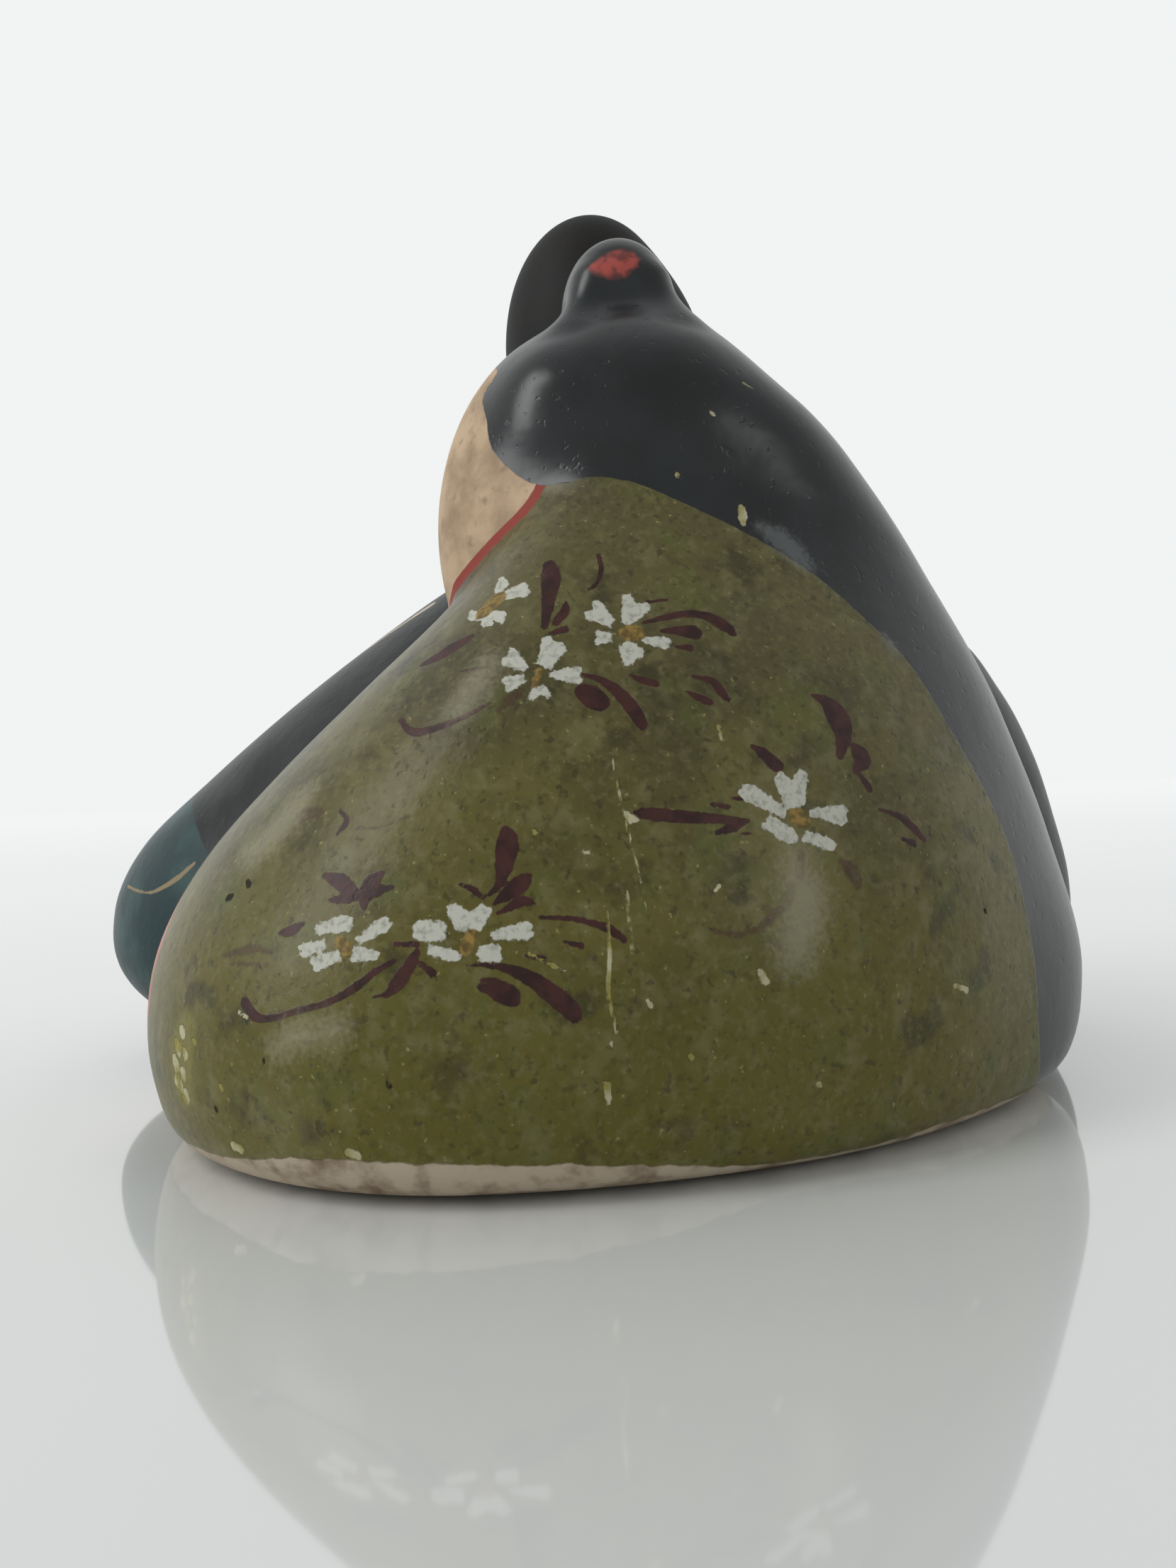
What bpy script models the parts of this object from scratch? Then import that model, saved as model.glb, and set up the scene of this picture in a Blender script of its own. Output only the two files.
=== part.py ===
"""Hina couple: a lady and a lord moulded in one piece of fired clay, leaning on each other.

They face -Y. The lady sits on the +X side and the lord on the -X side, and the flat underside is at z = 0.
The form is one soft shape: robes that are rounded sections up a spine, and heads, hair and hat that are
egg shapes and round-ended rods, all run together the way soft clay is smoothed with a wet finger.
"""
import bmesh
import bpy
import numpy as np

# Driving sizes, in metres
HEIGHT = 0.0786  # floor to the top of his hat

# How the clay is smoothed where two forms meet. These and all the numbers of the form below are pattern
# millimetres, which are true ones at the height above.
FOOT_ROUNDING = 3.0
COUPLE_FILLET = 3.0
FACE_FILLET = 1.2
HAIR_SEAT_FILLET = 4.5
LOCK_FILLET = 1.8
KNOT_FILLET = 1.5
KNOT_SEAT_FILLET = 2.2
HAT_FILLET = 3.0
HOLLOW_ROUNDING = 1.2
SHOULDER_ROUNDING = 9.0
SLEEVE_FOLD_SOFTNESS = 3.5

# How finely the form is cut into faces
CUT = 1.75
FACE_LIMIT = 9200
STEEPNESS = 0.75  # robes lean in, so their level distance is cut to this share
UNDERSIDE_BAND = 0.04  # points lower than this belong to the flat underside
SPREADING = 0.5  # how far a point goes towards the middle of its neighbours in one round
LEAST_SLOPE = 0.1

# Robes: the reach of the section from its spine at each height. outer is away from the partner.
LADY_ROBE = {
    "height": (0, 7, 14, 20, 26, 32, 38, 44, 49),
    "spine": (-6, -6, -5, -4, -3, -1.5, 0, 1.5, 3),
    "outer": (28, 29.2, 28.5, 26.5, 24, 20.5, 16.3, 11.4, 5),
    "inner": (20, 20, 20, 20, 20, 18, 15, 10, 5),
    "front": (24.7, 26.2, 26.2, 23.7, 19.1, 14.2, 9.2, 6, 3),
    "back": (41, 42, 40.5, 38.5, 35.5, 31.5, 25, 16, 7),
    "middle": 12, "top": 50, "front_squareness": 2.1, "back_squareness": 1.85,
}
LORD_ROBE = {
    "height": (0, 7, 14, 20, 26, 32, 38, 44, 50),
    "spine": (-6, -6, -5, -4, -3, -1, 1, 2, 3),
    "outer": (30, 31.2, 30.5, 29, 27, 24, 20, 15, 7),
    "inner": (20, 20, 20, 20, 20, 19, 16, 12, 7),
    "front": (26, 36.6, 39.1, 37.1, 31.5, 26.2, 20.2, 12.5, 5),
    "back": (49.5, 53, 52.4, 50.1, 47.3, 42.4, 35.6, 23, 8),
    "middle": 10, "top": 50, "front_squareness": 2.1, "back_squareness": 1.8,
}
# Her long hair down her back, in the same terms
LONG_HAIR = {
    "height": (0, 3, 8, 20, 30, 39, 47, 51.6, 55.4, 58.2, 60.4),
    "spine": (8, 8, 8, 8, 8, 8, 8, 8, 8, 8, 8),
    "outer": (16, 15.8, 15.4, 13.6, 12.8, 12.4, 12, 11.6, 10.4, 8.6, 5),
    "inner": (12, 12, 12, 12, 12, 12, 12, 11.5, 10, 8, 5),
    "front": (8, 8, 8, 8, 8, 8, 8, 8, 7, 5, 3),
    "back": (28, 30.6, 31.9, 29.2, 25.5, 21.5, 16.8, 13.4, 9.6, 5.7, 2.2),
    "middle": 10, "top": 61, "front_squareness": 2.0, "back_squareness": 2.2,
}

# Egg shapes: centre and half sizes. The lady's are as they stand, the lord's are mirrored onto -X.
LADY_FACE = ((11, 2.2, 44.4), (9.6, 12.2, 16.6))
LADY_NOSE = ((6.1, -8.1, 47.6), (1.2, 1.4, 1.8))
LADY_CROWN = ((11, 6.0, 49.4), (11.6, 12, 12.5))
LADY_SIDE_LOCK = ((13.6, 0.4, 51.8), (7.4, 6.3, 6.8))
LADY_FAR_LOCK = ((4.5, -0.6, 51.5), (5, 5, 6.5))
LADY_TOPKNOT = ((11.2, 5.1, 62.0), (4.5, 4.6, 5.9))
TOPKNOT_HOLLOW = ((18.9, 5.2, 61.6), (3.5, 2.6, 2.4))
LORD_FACE = ((9.5, 2.3, 50), (11.5, 12, 15))
LORD_NOSE = ((5.4, -8.7, 51.8), (1.3, 1.4, 1.9))
LORD_HAIR = ((9.5, 6, 52), (11.5, 11, 12.5))
LORD_HAT = ((9, 3.2, 66.5), (8.6, 8.3, 12.1))
LORD_HAT_BACK = ((9, 5.4, 63.5), (8.6, 8.6, 10))
FIGURE_SCALE = HEIGHT / (LORD_HAT[0][2] + LORD_HAT[1][2])  # one pattern millimetre in metres

# Round-ended rods: each end is x, y, z and radius
TOPKNOT_LOOPS = (((13.6, 3.0, 63.4, 1.2), (14.9, 1.7, 59, 1.6)), ((13.6, 7.6, 63.4, 1.2), (14.9, 8.9, 59, 1.6)))
LADY_SLEEVE_FOLD = ((11, -18.6, 34, 4.4), (9.5, -36.5, 4, 6.2))
LORD_SLEEVE_FOLD = ((15, -26.5, 36, 4.4), (18, -48, 8, 6.2))

# The block of space that is searched for the surface: the robes' reach and his hat, with room around them
SEARCH_ROOM = 3.0
ROBES = (LADY_ROBE, LORD_ROBE)
SIDE_REACH = max(robe["middle"] + max(robe["outer"]) for robe in ROBES) + SEARCH_ROOM
LONG_REACH = max(max(robe["back"]) + max(robe["spine"]) for robe in ROBES) + SEARCH_ROOM
LOW = (-SIDE_REACH, -LONG_REACH, -SEARCH_ROOM)
HIGH = (SIDE_REACH, LONG_REACH, LORD_HAT[0][2] + LORD_HAT[1][2] + SEARCH_ROOM)

CLAY_PAINT = (0.098, 0.096, 0.035, 1)


def join(a, b, fillet):
    """Two forms run into one, with a fillet of clay where they meet."""
    near = np.maximum(fillet - np.abs(a - b), 0) / fillet
    return np.minimum(a, b) - near * near * fillet / 4


def cut_back(a, b, rounding):
    """What two forms share, with a rounded edge."""
    return -join(-a, -b, rounding)


def egg(place, centre, radii):
    """Distance to an egg shape, inside negative."""
    offset = place - np.array(centre, float)
    radii = np.array(radii, float)
    reach = np.linalg.norm(offset / radii, axis=-1)
    steep = np.linalg.norm(offset / radii ** 2, axis=-1)
    return reach * (reach - 1) / np.maximum(steep, 1e-9)


def rod(place, start, end):
    """Distance to a round-ended rod that goes from one radius to another."""
    a, b = np.array(start[:3], float), np.array(end[:3], float)
    along = b - a
    share = np.clip(((place - a) @ along) / (along @ along), 0, 1)
    radius = start[3] + (end[3] - start[3]) * share
    return np.linalg.norm(place - a - share[..., None] * along, axis=-1) - radius


def smooth_value(z, heights, values):
    """A soft curve through the values given at the heights."""
    heights, values = np.array(heights, float), np.array(values, float)
    slopes = np.gradient(values, heights)
    z = np.clip(z, heights[0], heights[-1])
    i = np.clip(np.searchsorted(heights, z) - 1, 0, len(heights) - 2)
    step = heights[i + 1] - heights[i]
    t = (z - heights[i]) / step
    start, end = values[i], values[i + 1]
    leave, arrive = slopes[i] * step, slopes[i + 1] * step
    rise = end - start
    return start + t * leave + t * t * (3 * rise - 2 * leave - arrive) + t ** 3 * (leave + arrive - 2 * rise)


def draped(place, robe):
    """Distance to cloth or hair that is a stack of rounded sections, closed softly at its top."""
    x, y, z = place[..., 0], place[..., 1], place[..., 2]
    heights = robe["height"]
    across = x - robe["middle"]
    along = y - smooth_value(z, heights, robe["spine"])
    side = np.where(across > 0, smooth_value(z, heights, robe["outer"]), smooth_value(z, heights, robe["inner"]))
    deep = np.where(along > 0, smooth_value(z, heights, robe["back"]), smooth_value(z, heights, robe["front"]))
    power = np.where(along > 0, robe["back_squareness"], robe["front_squareness"])
    share = ((np.abs(across) / side) ** power + (np.abs(along) / deep) ** power) ** (1 / power)
    reach = np.hypot(across, along)
    edge = np.where(share > 1e-6, reach / np.maximum(share, 1e-6), np.minimum(side, deep))
    return cut_back((reach - edge) * STEEPNESS, z - robe["top"], SHOULDER_ROUNDING)


def topknot(place):
    """The knot of hair on her crown: two loops with a hollow between them."""
    knot = egg(place, *LADY_TOPKNOT)
    for start, end in TOPKNOT_LOOPS:
        knot = join(knot, rod(place, start, end), KNOT_FILLET)
    return cut_back(knot, -egg(place, *TOPKNOT_HOLLOW), HOLLOW_ROUNDING)


def lady(place):
    robe = cut_back(draped(place, LADY_ROBE), -rod(place, *LADY_SLEEVE_FOLD), SLEEVE_FOLD_SOFTNESS)
    face = join(egg(place, *LADY_FACE), egg(place, *LADY_NOSE), FACE_FILLET)
    hair = egg(place, *LADY_CROWN)
    for lock in (egg(place, *LADY_SIDE_LOCK), egg(place, *LADY_FAR_LOCK), draped(place, LONG_HAIR)):
        hair = join(hair, lock, LOCK_FILLET)
    hair = join(hair, topknot(place), KNOT_SEAT_FILLET)
    return join(join(robe, hair, HAIR_SEAT_FILLET), face, FACE_FILLET)


def lord(place):
    place = place * np.array((-1, 1, 1))
    robe = cut_back(draped(place, LORD_ROBE), -rod(place, *LORD_SLEEVE_FOLD), SLEEVE_FOLD_SOFTNESS)
    face = join(egg(place, *LORD_FACE), egg(place, *LORD_NOSE), FACE_FILLET)
    hat = join(egg(place, *LORD_HAT), egg(place, *LORD_HAT_BACK), HAT_FILLET)
    hair = join(egg(place, *LORD_HAIR), hat, HAT_FILLET)
    return join(join(robe, hair, HAIR_SEAT_FILLET), face, FACE_FILLET)


def couple(place):
    """Distance to the whole piece in pattern millimetres, inside negative."""
    pair = join(lady(place), lord(place), COUPLE_FILLET)
    return cut_back(pair, -place[..., 2], FOOT_ROUNDING)


def skin(form, cut):
    """Points and four-sided faces of the form's surface, found in a block of small cubes."""
    low = np.array(LOW, float)
    counts = np.ceil((np.array(HIGH) - low) / cut).astype(int) + 1
    axes = [low[k] + cut * np.arange(counts[k]) for k in range(3)]
    value = form(np.stack(np.meshgrid(*axes, indexing="ij"), -1))
    inside = value < 0
    corners = [(i, j, k) for i in (0, 1) for j in (0, 1) for k in (0, 1)]

    def at(grid, corner):
        return grid[tuple(slice(c, n - 1 + c) for c, n in zip(corner, grid.shape))]

    filled = sum(at(inside, corner).astype(int) for corner in corners)
    crossed = (filled > 0) & (filled < len(corners))
    total = np.zeros(crossed.shape + (3,))
    hits = np.zeros(crossed.shape)
    for corner in corners:
        for axis in range(3):
            if corner[axis]:
                continue
            other = tuple(1 if k == axis else corner[k] for k in range(3))
            a, b = at(value, corner), at(value, other)
            cross = (a < 0) != (b < 0)
            point = np.zeros(crossed.shape + (3,)) + corner
            point[..., axis] = a / np.where(cross, a - b, 1)
            total += np.where(cross[..., None], point, 0)
            hits += cross
    number = np.full(crossed.shape, -1)
    number[crossed] = np.arange(crossed.sum())
    points = low + cut * (np.argwhere(crossed) + total[crossed] / hits[crossed][:, None])
    faces = []
    for axis in range(3):
        first = inside[tuple(slice(0, -1) if k == axis else slice(None) for k in range(3))]
        second = inside[tuple(slice(1, None) if k == axis else slice(None) for k in range(3))]
        edge = np.argwhere(first != second)
        u, w = np.eye(3, dtype=int)[(axis + 1) % 3], np.eye(3, dtype=int)[(axis + 2) % 3]
        ring = np.stack([number[tuple((edge - step).T)] for step in (u + w, w, 0 * u, u)], 1)
        leaving = first[tuple(edge.T)]
        ring[~leaving] = ring[~leaving][:, ::-1]
        faces.append(ring)
    return points, np.concatenate(faces)


def steepest(form, points, reach=0.01):
    """The direction in which the distance to the form grows."""
    steps = reach * np.eye(3)
    return np.stack([(form(points + step) - form(points - step)) / (2 * reach) for step in steps], -1)


def settled(form, points, faces, rounds=3):
    """Spaces the points evenly and lays them back on the surface."""
    ends = np.concatenate([faces[:, [k, (k + 1) % 4]] for k in range(4)])
    for _ in range(rounds):
        pull, count = np.zeros_like(points), np.zeros(len(points))
        np.add.at(pull, ends[:, 0], points[ends[:, 1]])
        np.add.at(count, ends[:, 0], 1)
        points = points + SPREADING * (pull / count[:, None] - points)
        for _ in range(2):
            away = steepest(form, points)
            points = points - away * (form(points) / np.maximum((away ** 2).sum(-1), LEAST_SLOPE))[:, None]
    return points


def middle_of(points):
    """The level middle of the box around points, which is where the origin stands."""
    middle = (points.min(0) + points.max(0)) / 2
    middle[2] = 0
    return middle


def clay_mesh(name):
    """The couple as a mesh, thinned to the face limit, with a truly flat underside."""
    points, faces = skin(couple, CUT)
    points = settled(couple, points, faces)
    points = (points - middle_of(points)) * FIGURE_SCALE
    fine = bpy.data.meshes.new(name + "_fine")
    fine.from_pydata(points.tolist(), [], faces.tolist())
    flatten_underside(fine)
    draft = bpy.data.objects.new(name + "_draft", fine)
    bpy.context.scene.collection.objects.link(draft)
    draft.modifiers.new("triangles", "TRIANGULATE")
    triangles = sum(len(face.vertices) - 2 for face in fine.polygons)
    thin = draft.modifiers.new("thin", "DECIMATE")
    thin.ratio = min(1.0, FACE_LIMIT / triangles)
    view = bpy.context.evaluated_depsgraph_get()
    mesh = bpy.data.meshes.new_from_object(draft.evaluated_get(view))
    mesh.name = name
    bpy.data.objects.remove(draft)
    flatten_underside(mesh)
    return mesh


def flatten_underside(mesh):
    """Sets the points of the underside on the plane z = 0 and makes it one face."""
    flat = UNDERSIDE_BAND * FIGURE_SCALE
    work = bmesh.new()
    work.from_mesh(mesh)
    for point in work.verts:
        if point.co.z < flat:
            point.co.z = 0
    under = [face for face in work.faces if all(point.co.z == 0 for point in face.verts)]
    bmesh.ops.dissolve_faces(work, faces=under, use_verts=False)
    work.to_mesh(mesh)
    work.free()


def painted_clay(name, colour):
    material = bpy.data.materials.new(name)
    material.use_nodes = True
    shader = material.node_tree.nodes["Principled BSDF"]
    shader.inputs["Base Color"].default_value = colour
    shader.inputs["Roughness"].default_value = 0.4
    shader.inputs["Metallic"].default_value = 0
    return material


def build():
    for item in list(bpy.data.objects):
        bpy.data.objects.remove(item)
    mesh = clay_mesh("hina_couple")
    mesh.materials.append(painted_clay("painted_clay", CLAY_PAINT))
    mesh.shade_smooth()
    piece = bpy.data.objects.new("hina_couple", mesh)
    bpy.context.scene.collection.objects.link(piece)


build()
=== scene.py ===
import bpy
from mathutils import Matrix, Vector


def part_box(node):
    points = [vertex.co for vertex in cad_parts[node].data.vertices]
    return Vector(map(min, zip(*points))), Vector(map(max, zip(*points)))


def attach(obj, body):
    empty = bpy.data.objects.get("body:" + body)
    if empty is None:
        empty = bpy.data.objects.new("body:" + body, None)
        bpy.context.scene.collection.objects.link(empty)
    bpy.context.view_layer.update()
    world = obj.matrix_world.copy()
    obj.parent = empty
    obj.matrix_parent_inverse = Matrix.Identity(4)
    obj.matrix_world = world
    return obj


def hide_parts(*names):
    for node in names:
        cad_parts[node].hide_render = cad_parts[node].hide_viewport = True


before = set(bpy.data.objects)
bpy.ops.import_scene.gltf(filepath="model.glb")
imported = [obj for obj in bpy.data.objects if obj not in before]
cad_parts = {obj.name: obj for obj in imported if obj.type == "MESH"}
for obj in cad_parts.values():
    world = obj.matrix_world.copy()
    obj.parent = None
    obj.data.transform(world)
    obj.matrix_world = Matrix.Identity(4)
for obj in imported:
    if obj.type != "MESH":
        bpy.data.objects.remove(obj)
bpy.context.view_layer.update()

# Hina couple: a lady and a lord moulded in one piece of fired clay and painted by hand.
# The solid's form is worked out again here and cut finer, and every painted mark is laid on it as a distance
# in millimetres to the mark's edge, which the paint's own nodes turn into colour, gloss and thickness.
import math

import bmesh
import bpy
import numpy as np
from mathutils import Matrix, kdtree

PIECE = "hina_couple"

# How the clay is smoothed where two forms meet. These and all the numbers of the form below are the part's
# pattern millimetres, which FIGURE_SCALE turns into metres.
FOOT_ROUNDING = 3.0
COUPLE_FILLET = 3.0
FACE_FILLET = 1.2
HAIR_SEAT_FILLET = 4.5
LOCK_FILLET = 1.8
KNOT_FILLET = 1.5
KNOT_SEAT_FILLET = 2.2
HAT_FILLET = 3.0
HOLLOW_ROUNDING = 1.2
SHOULDER_ROUNDING = 9.0
SLEEVE_FOLD_SOFTNESS = 3.5

# How finely the form is cut into faces
CUT = 1.75
STEEPNESS = 0.75  # robes lean in, so their level distance is cut to this share
UNDERSIDE_BAND = 0.04  # points lower than this belong to the flat underside
SPREADING = 0.5  # how far a point goes towards the middle of its neighbours in one round
LEAST_SLOPE = 0.1

# Robes: the reach of the section from its spine at each height. outer is away from the partner.
LADY_ROBE = {
    "height": (0, 7, 14, 20, 26, 32, 38, 44, 49),
    "spine": (-6, -6, -5, -4, -3, -1.5, 0, 1.5, 3),
    "outer": (28, 29.2, 28.5, 26.5, 24, 20.5, 16.3, 11.4, 5),
    "inner": (20, 20, 20, 20, 20, 18, 15, 10, 5),
    "front": (24.7, 26.2, 26.2, 23.7, 19.1, 14.2, 9.2, 6, 3),
    "back": (41, 42, 40.5, 38.5, 35.5, 31.5, 25, 16, 7),
    "middle": 12, "top": 50, "front_squareness": 2.1, "back_squareness": 1.85,
}
LORD_ROBE = {
    "height": (0, 7, 14, 20, 26, 32, 38, 44, 50),
    "spine": (-6, -6, -5, -4, -3, -1, 1, 2, 3),
    "outer": (30, 31.2, 30.5, 29, 27, 24, 20, 15, 7),
    "inner": (20, 20, 20, 20, 20, 19, 16, 12, 7),
    "front": (26, 36.6, 39.1, 37.1, 31.5, 26.2, 20.2, 12.5, 5),
    "back": (49.5, 53, 52.4, 50.1, 47.3, 42.4, 35.6, 23, 8),
    "middle": 10, "top": 50, "front_squareness": 2.1, "back_squareness": 1.8,
}
# Her long hair down her back, in the same terms
LONG_HAIR = {
    "height": (0, 3, 8, 20, 30, 39, 47, 51.6, 55.4, 58.2, 60.4),
    "spine": (8, 8, 8, 8, 8, 8, 8, 8, 8, 8, 8),
    "outer": (16, 15.8, 15.4, 13.6, 12.8, 12.4, 12, 11.6, 10.4, 8.6, 5),
    "inner": (12, 12, 12, 12, 12, 12, 12, 11.5, 10, 8, 5),
    "front": (8, 8, 8, 8, 8, 8, 8, 8, 7, 5, 3),
    "back": (28, 30.6, 31.9, 29.2, 25.5, 21.5, 16.8, 13.4, 9.6, 5.7, 2.2),
    "middle": 10, "top": 61, "front_squareness": 2.0, "back_squareness": 2.2,
}

# Egg shapes: centre and half sizes. The lady's are as they stand, the lord's are mirrored onto -X.
LADY_FACE = ((11, 2.2, 44.4), (9.6, 12.2, 16.6))
LADY_NOSE = ((6.1, -8.1, 47.6), (1.2, 1.4, 1.8))
LADY_CROWN = ((11, 6.0, 49.4), (11.6, 12, 12.5))
LADY_SIDE_LOCK = ((13.6, 0.4, 51.8), (7.4, 6.3, 6.8))
LADY_FAR_LOCK = ((4.5, -0.6, 51.5), (5, 5, 6.5))
LADY_TOPKNOT = ((11.2, 5.1, 62.0), (4.5, 4.6, 5.9))
TOPKNOT_HOLLOW = ((18.9, 5.2, 61.6), (3.5, 2.6, 2.4))
LORD_FACE = ((9.5, 2.3, 50), (11.5, 12, 15))
LORD_NOSE = ((5.4, -8.7, 51.8), (1.3, 1.4, 1.9))
LORD_HAIR = ((9.5, 6, 52), (11.5, 11, 12.5))
LORD_HAT = ((9, 3.2, 66.5), (8.6, 8.3, 12.1))
LORD_HAT_BACK = ((9, 5.4, 63.5), (8.6, 8.6, 10))
FIGURE_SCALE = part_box(PIECE)[1][2] / (LORD_HAT[0][2] + LORD_HAT[1][2])  # one pattern millimetre in metres

# Round-ended rods: each end is x, y, z and radius
TOPKNOT_LOOPS = (
    ((13.6, 3.0, 63.4, 1.2), (14.9, 1.7, 59, 1.6)),
    ((13.6, 7.6, 63.4, 1.2), (14.9, 8.9, 59, 1.6)),
)
LADY_SLEEVE_FOLD = ((11, -18.6, 34, 4.4), (9.5, -36.5, 4, 6.2))
LORD_SLEEVE_FOLD = ((15, -26.5, 36, 4.4), (18, -48, 8, 6.2))

# The block of space that is searched for the surface: the robes' reach and his hat, with room around them
SEARCH_ROOM = 3.0
ROBES = (LADY_ROBE, LORD_ROBE)
SIDE_REACH = max(robe["middle"] + max(robe["outer"]) for robe in ROBES) + SEARCH_ROOM
LONG_REACH = max(max(robe["back"]) + max(robe["spine"]) for robe in ROBES) + SEARCH_ROOM
LOW = (-SIDE_REACH, -LONG_REACH, -SEARCH_ROOM)
HIGH = (SIDE_REACH, LONG_REACH, LORD_HAT[0][2] + LORD_HAT[1][2] + SEARCH_ROOM)


def join(a, b, fillet):
    """Two forms run into one, with a fillet of clay where they meet."""
    near = np.maximum(fillet - np.abs(a - b), 0) / fillet
    return np.minimum(a, b) - near * near * fillet / 4


def cut_back(a, b, rounding):
    """What two forms share, with a rounded edge."""
    return -join(-a, -b, rounding)


def egg(place, centre, radii):
    """Distance to an egg shape, inside negative."""
    offset = place - np.array(centre, float)
    radii = np.array(radii, float)
    reach = np.linalg.norm(offset / radii, axis=-1)
    steep = np.linalg.norm(offset / radii ** 2, axis=-1)
    return reach * (reach - 1) / np.maximum(steep, 1e-9)


def rod(place, start, end):
    """Distance to a round-ended rod that goes from one radius to another."""
    a, b = np.array(start[:3], float), np.array(end[:3], float)
    along = b - a
    share = np.clip(((place - a) @ along) / (along @ along), 0, 1)
    radius = start[3] + (end[3] - start[3]) * share
    return np.linalg.norm(place - a - share[..., None] * along, axis=-1) - radius


def smooth_value(z, heights, values):
    """A soft curve through the values given at the heights."""
    heights, values = np.array(heights, float), np.array(values, float)
    slopes = np.gradient(values, heights)
    z = np.clip(z, heights[0], heights[-1])
    i = np.clip(np.searchsorted(heights, z) - 1, 0, len(heights) - 2)
    step = heights[i + 1] - heights[i]
    t = (z - heights[i]) / step
    start, end = values[i], values[i + 1]
    leave, arrive = slopes[i] * step, slopes[i + 1] * step
    rise = end - start
    return start + t * leave + t * t * (3 * rise - 2 * leave - arrive) + t ** 3 * (leave + arrive - 2 * rise)


def draped(place, robe):
    """Distance to cloth or hair that is a stack of rounded sections, closed softly at its top."""
    x, y, z = place[..., 0], place[..., 1], place[..., 2]
    heights = robe["height"]
    across = x - robe["middle"]
    along = y - smooth_value(z, heights, robe["spine"])
    outer, inner, back, front = (
        smooth_value(z, heights, robe[name]) for name in ("outer", "inner", "back", "front"))
    side = np.where(across > 0, outer, inner)
    deep = np.where(along > 0, back, front)
    power = np.where(along > 0, robe["back_squareness"], robe["front_squareness"])
    share = ((np.abs(across) / side) ** power + (np.abs(along) / deep) ** power) ** (1 / power)
    reach = np.hypot(across, along)
    edge = np.where(share > 1e-6, reach / np.maximum(share, 1e-6), np.minimum(side, deep))
    return cut_back((reach - edge) * STEEPNESS, z - robe["top"], SHOULDER_ROUNDING)


def topknot(place):
    """The knot of hair on her crown: two loops with a hollow between them."""
    knot = egg(place, *LADY_TOPKNOT)
    for start, end in TOPKNOT_LOOPS:
        knot = join(knot, rod(place, start, end), KNOT_FILLET)
    return cut_back(knot, -egg(place, *TOPKNOT_HOLLOW), HOLLOW_ROUNDING)


def lady_parts(place):
    """Distances to her robe, face and hair."""
    robe = cut_back(draped(place, LADY_ROBE), -rod(place, *LADY_SLEEVE_FOLD), SLEEVE_FOLD_SOFTNESS)
    face = join(egg(place, *LADY_FACE), egg(place, *LADY_NOSE), FACE_FILLET)
    hair = egg(place, *LADY_CROWN)
    for lock in (egg(place, *LADY_SIDE_LOCK), egg(place, *LADY_FAR_LOCK), draped(place, LONG_HAIR)):
        hair = join(hair, lock, LOCK_FILLET)
    return robe, face, join(hair, topknot(place), KNOT_SEAT_FILLET)


def lord_parts(place):
    """Distances to his robe, face, and hair with hat."""
    place = place * np.array((-1, 1, 1))
    robe = cut_back(draped(place, LORD_ROBE), -rod(place, *LORD_SLEEVE_FOLD), SLEEVE_FOLD_SOFTNESS)
    face = join(egg(place, *LORD_FACE), egg(place, *LORD_NOSE), FACE_FILLET)
    hat = join(egg(place, *LORD_HAT), egg(place, *LORD_HAT_BACK), HAT_FILLET)
    return robe, face, join(egg(place, *LORD_HAIR), hat, HAT_FILLET)


def figure(parts):
    robe, face, hair = parts
    return join(join(robe, hair, HAIR_SEAT_FILLET), face, FACE_FILLET)


def couple(place):
    """Distance to the whole piece in pattern millimetres, inside negative."""
    pair = join(figure(lady_parts(place)), figure(lord_parts(place)), COUPLE_FILLET)
    return cut_back(pair, -place[..., 2], FOOT_ROUNDING)


def skin(form, cut):
    """Points and four-sided faces of the form's surface, found in a block of small cubes."""
    low = np.array(LOW, float)
    counts = np.ceil((np.array(HIGH) - low) / cut).astype(int) + 1
    axes = [low[k] + cut * np.arange(counts[k]) for k in range(3)]
    value = form(np.stack(np.meshgrid(*axes, indexing="ij"), -1))
    inside = value < 0
    corners = [(i, j, k) for i in (0, 1) for j in (0, 1) for k in (0, 1)]

    def at(grid, corner):
        return grid[tuple(slice(c, n - 1 + c) for c, n in zip(corner, grid.shape))]

    filled = sum(at(inside, corner).astype(int) for corner in corners)
    crossed = (filled > 0) & (filled < len(corners))
    total = np.zeros(crossed.shape + (3,))
    hits = np.zeros(crossed.shape)
    for corner in corners:
        for axis in range(3):
            if corner[axis]:
                continue
            other = tuple(1 if k == axis else corner[k] for k in range(3))
            a, b = at(value, corner), at(value, other)
            cross = (a < 0) != (b < 0)
            point = np.zeros(crossed.shape + (3,)) + corner
            point[..., axis] = a / np.where(cross, a - b, 1)
            total += np.where(cross[..., None], point, 0)
            hits += cross
    number = np.full(crossed.shape, -1)
    number[crossed] = np.arange(crossed.sum())
    points = low + cut * (np.argwhere(crossed) + total[crossed] / hits[crossed][:, None])
    faces = []
    for axis in range(3):
        first = inside[tuple(slice(0, -1) if k == axis else slice(None) for k in range(3))]
        second = inside[tuple(slice(1, None) if k == axis else slice(None) for k in range(3))]
        edge = np.argwhere(first != second)
        u, w = np.eye(3, dtype=int)[(axis + 1) % 3], np.eye(3, dtype=int)[(axis + 2) % 3]
        ring = np.stack([number[tuple((edge - step).T)] for step in (u + w, w, 0 * u, u)], 1)
        leaving = first[tuple(edge.T)]
        ring[~leaving] = ring[~leaving][:, ::-1]
        faces.append(ring)
    return points, np.concatenate(faces)


def steepest(form, points, reach=0.01):
    """The direction in which the distance to the form grows."""
    steps = reach * np.eye(3)
    return np.stack([(form(points + step) - form(points - step)) / (2 * reach) for step in steps], -1)


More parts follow.
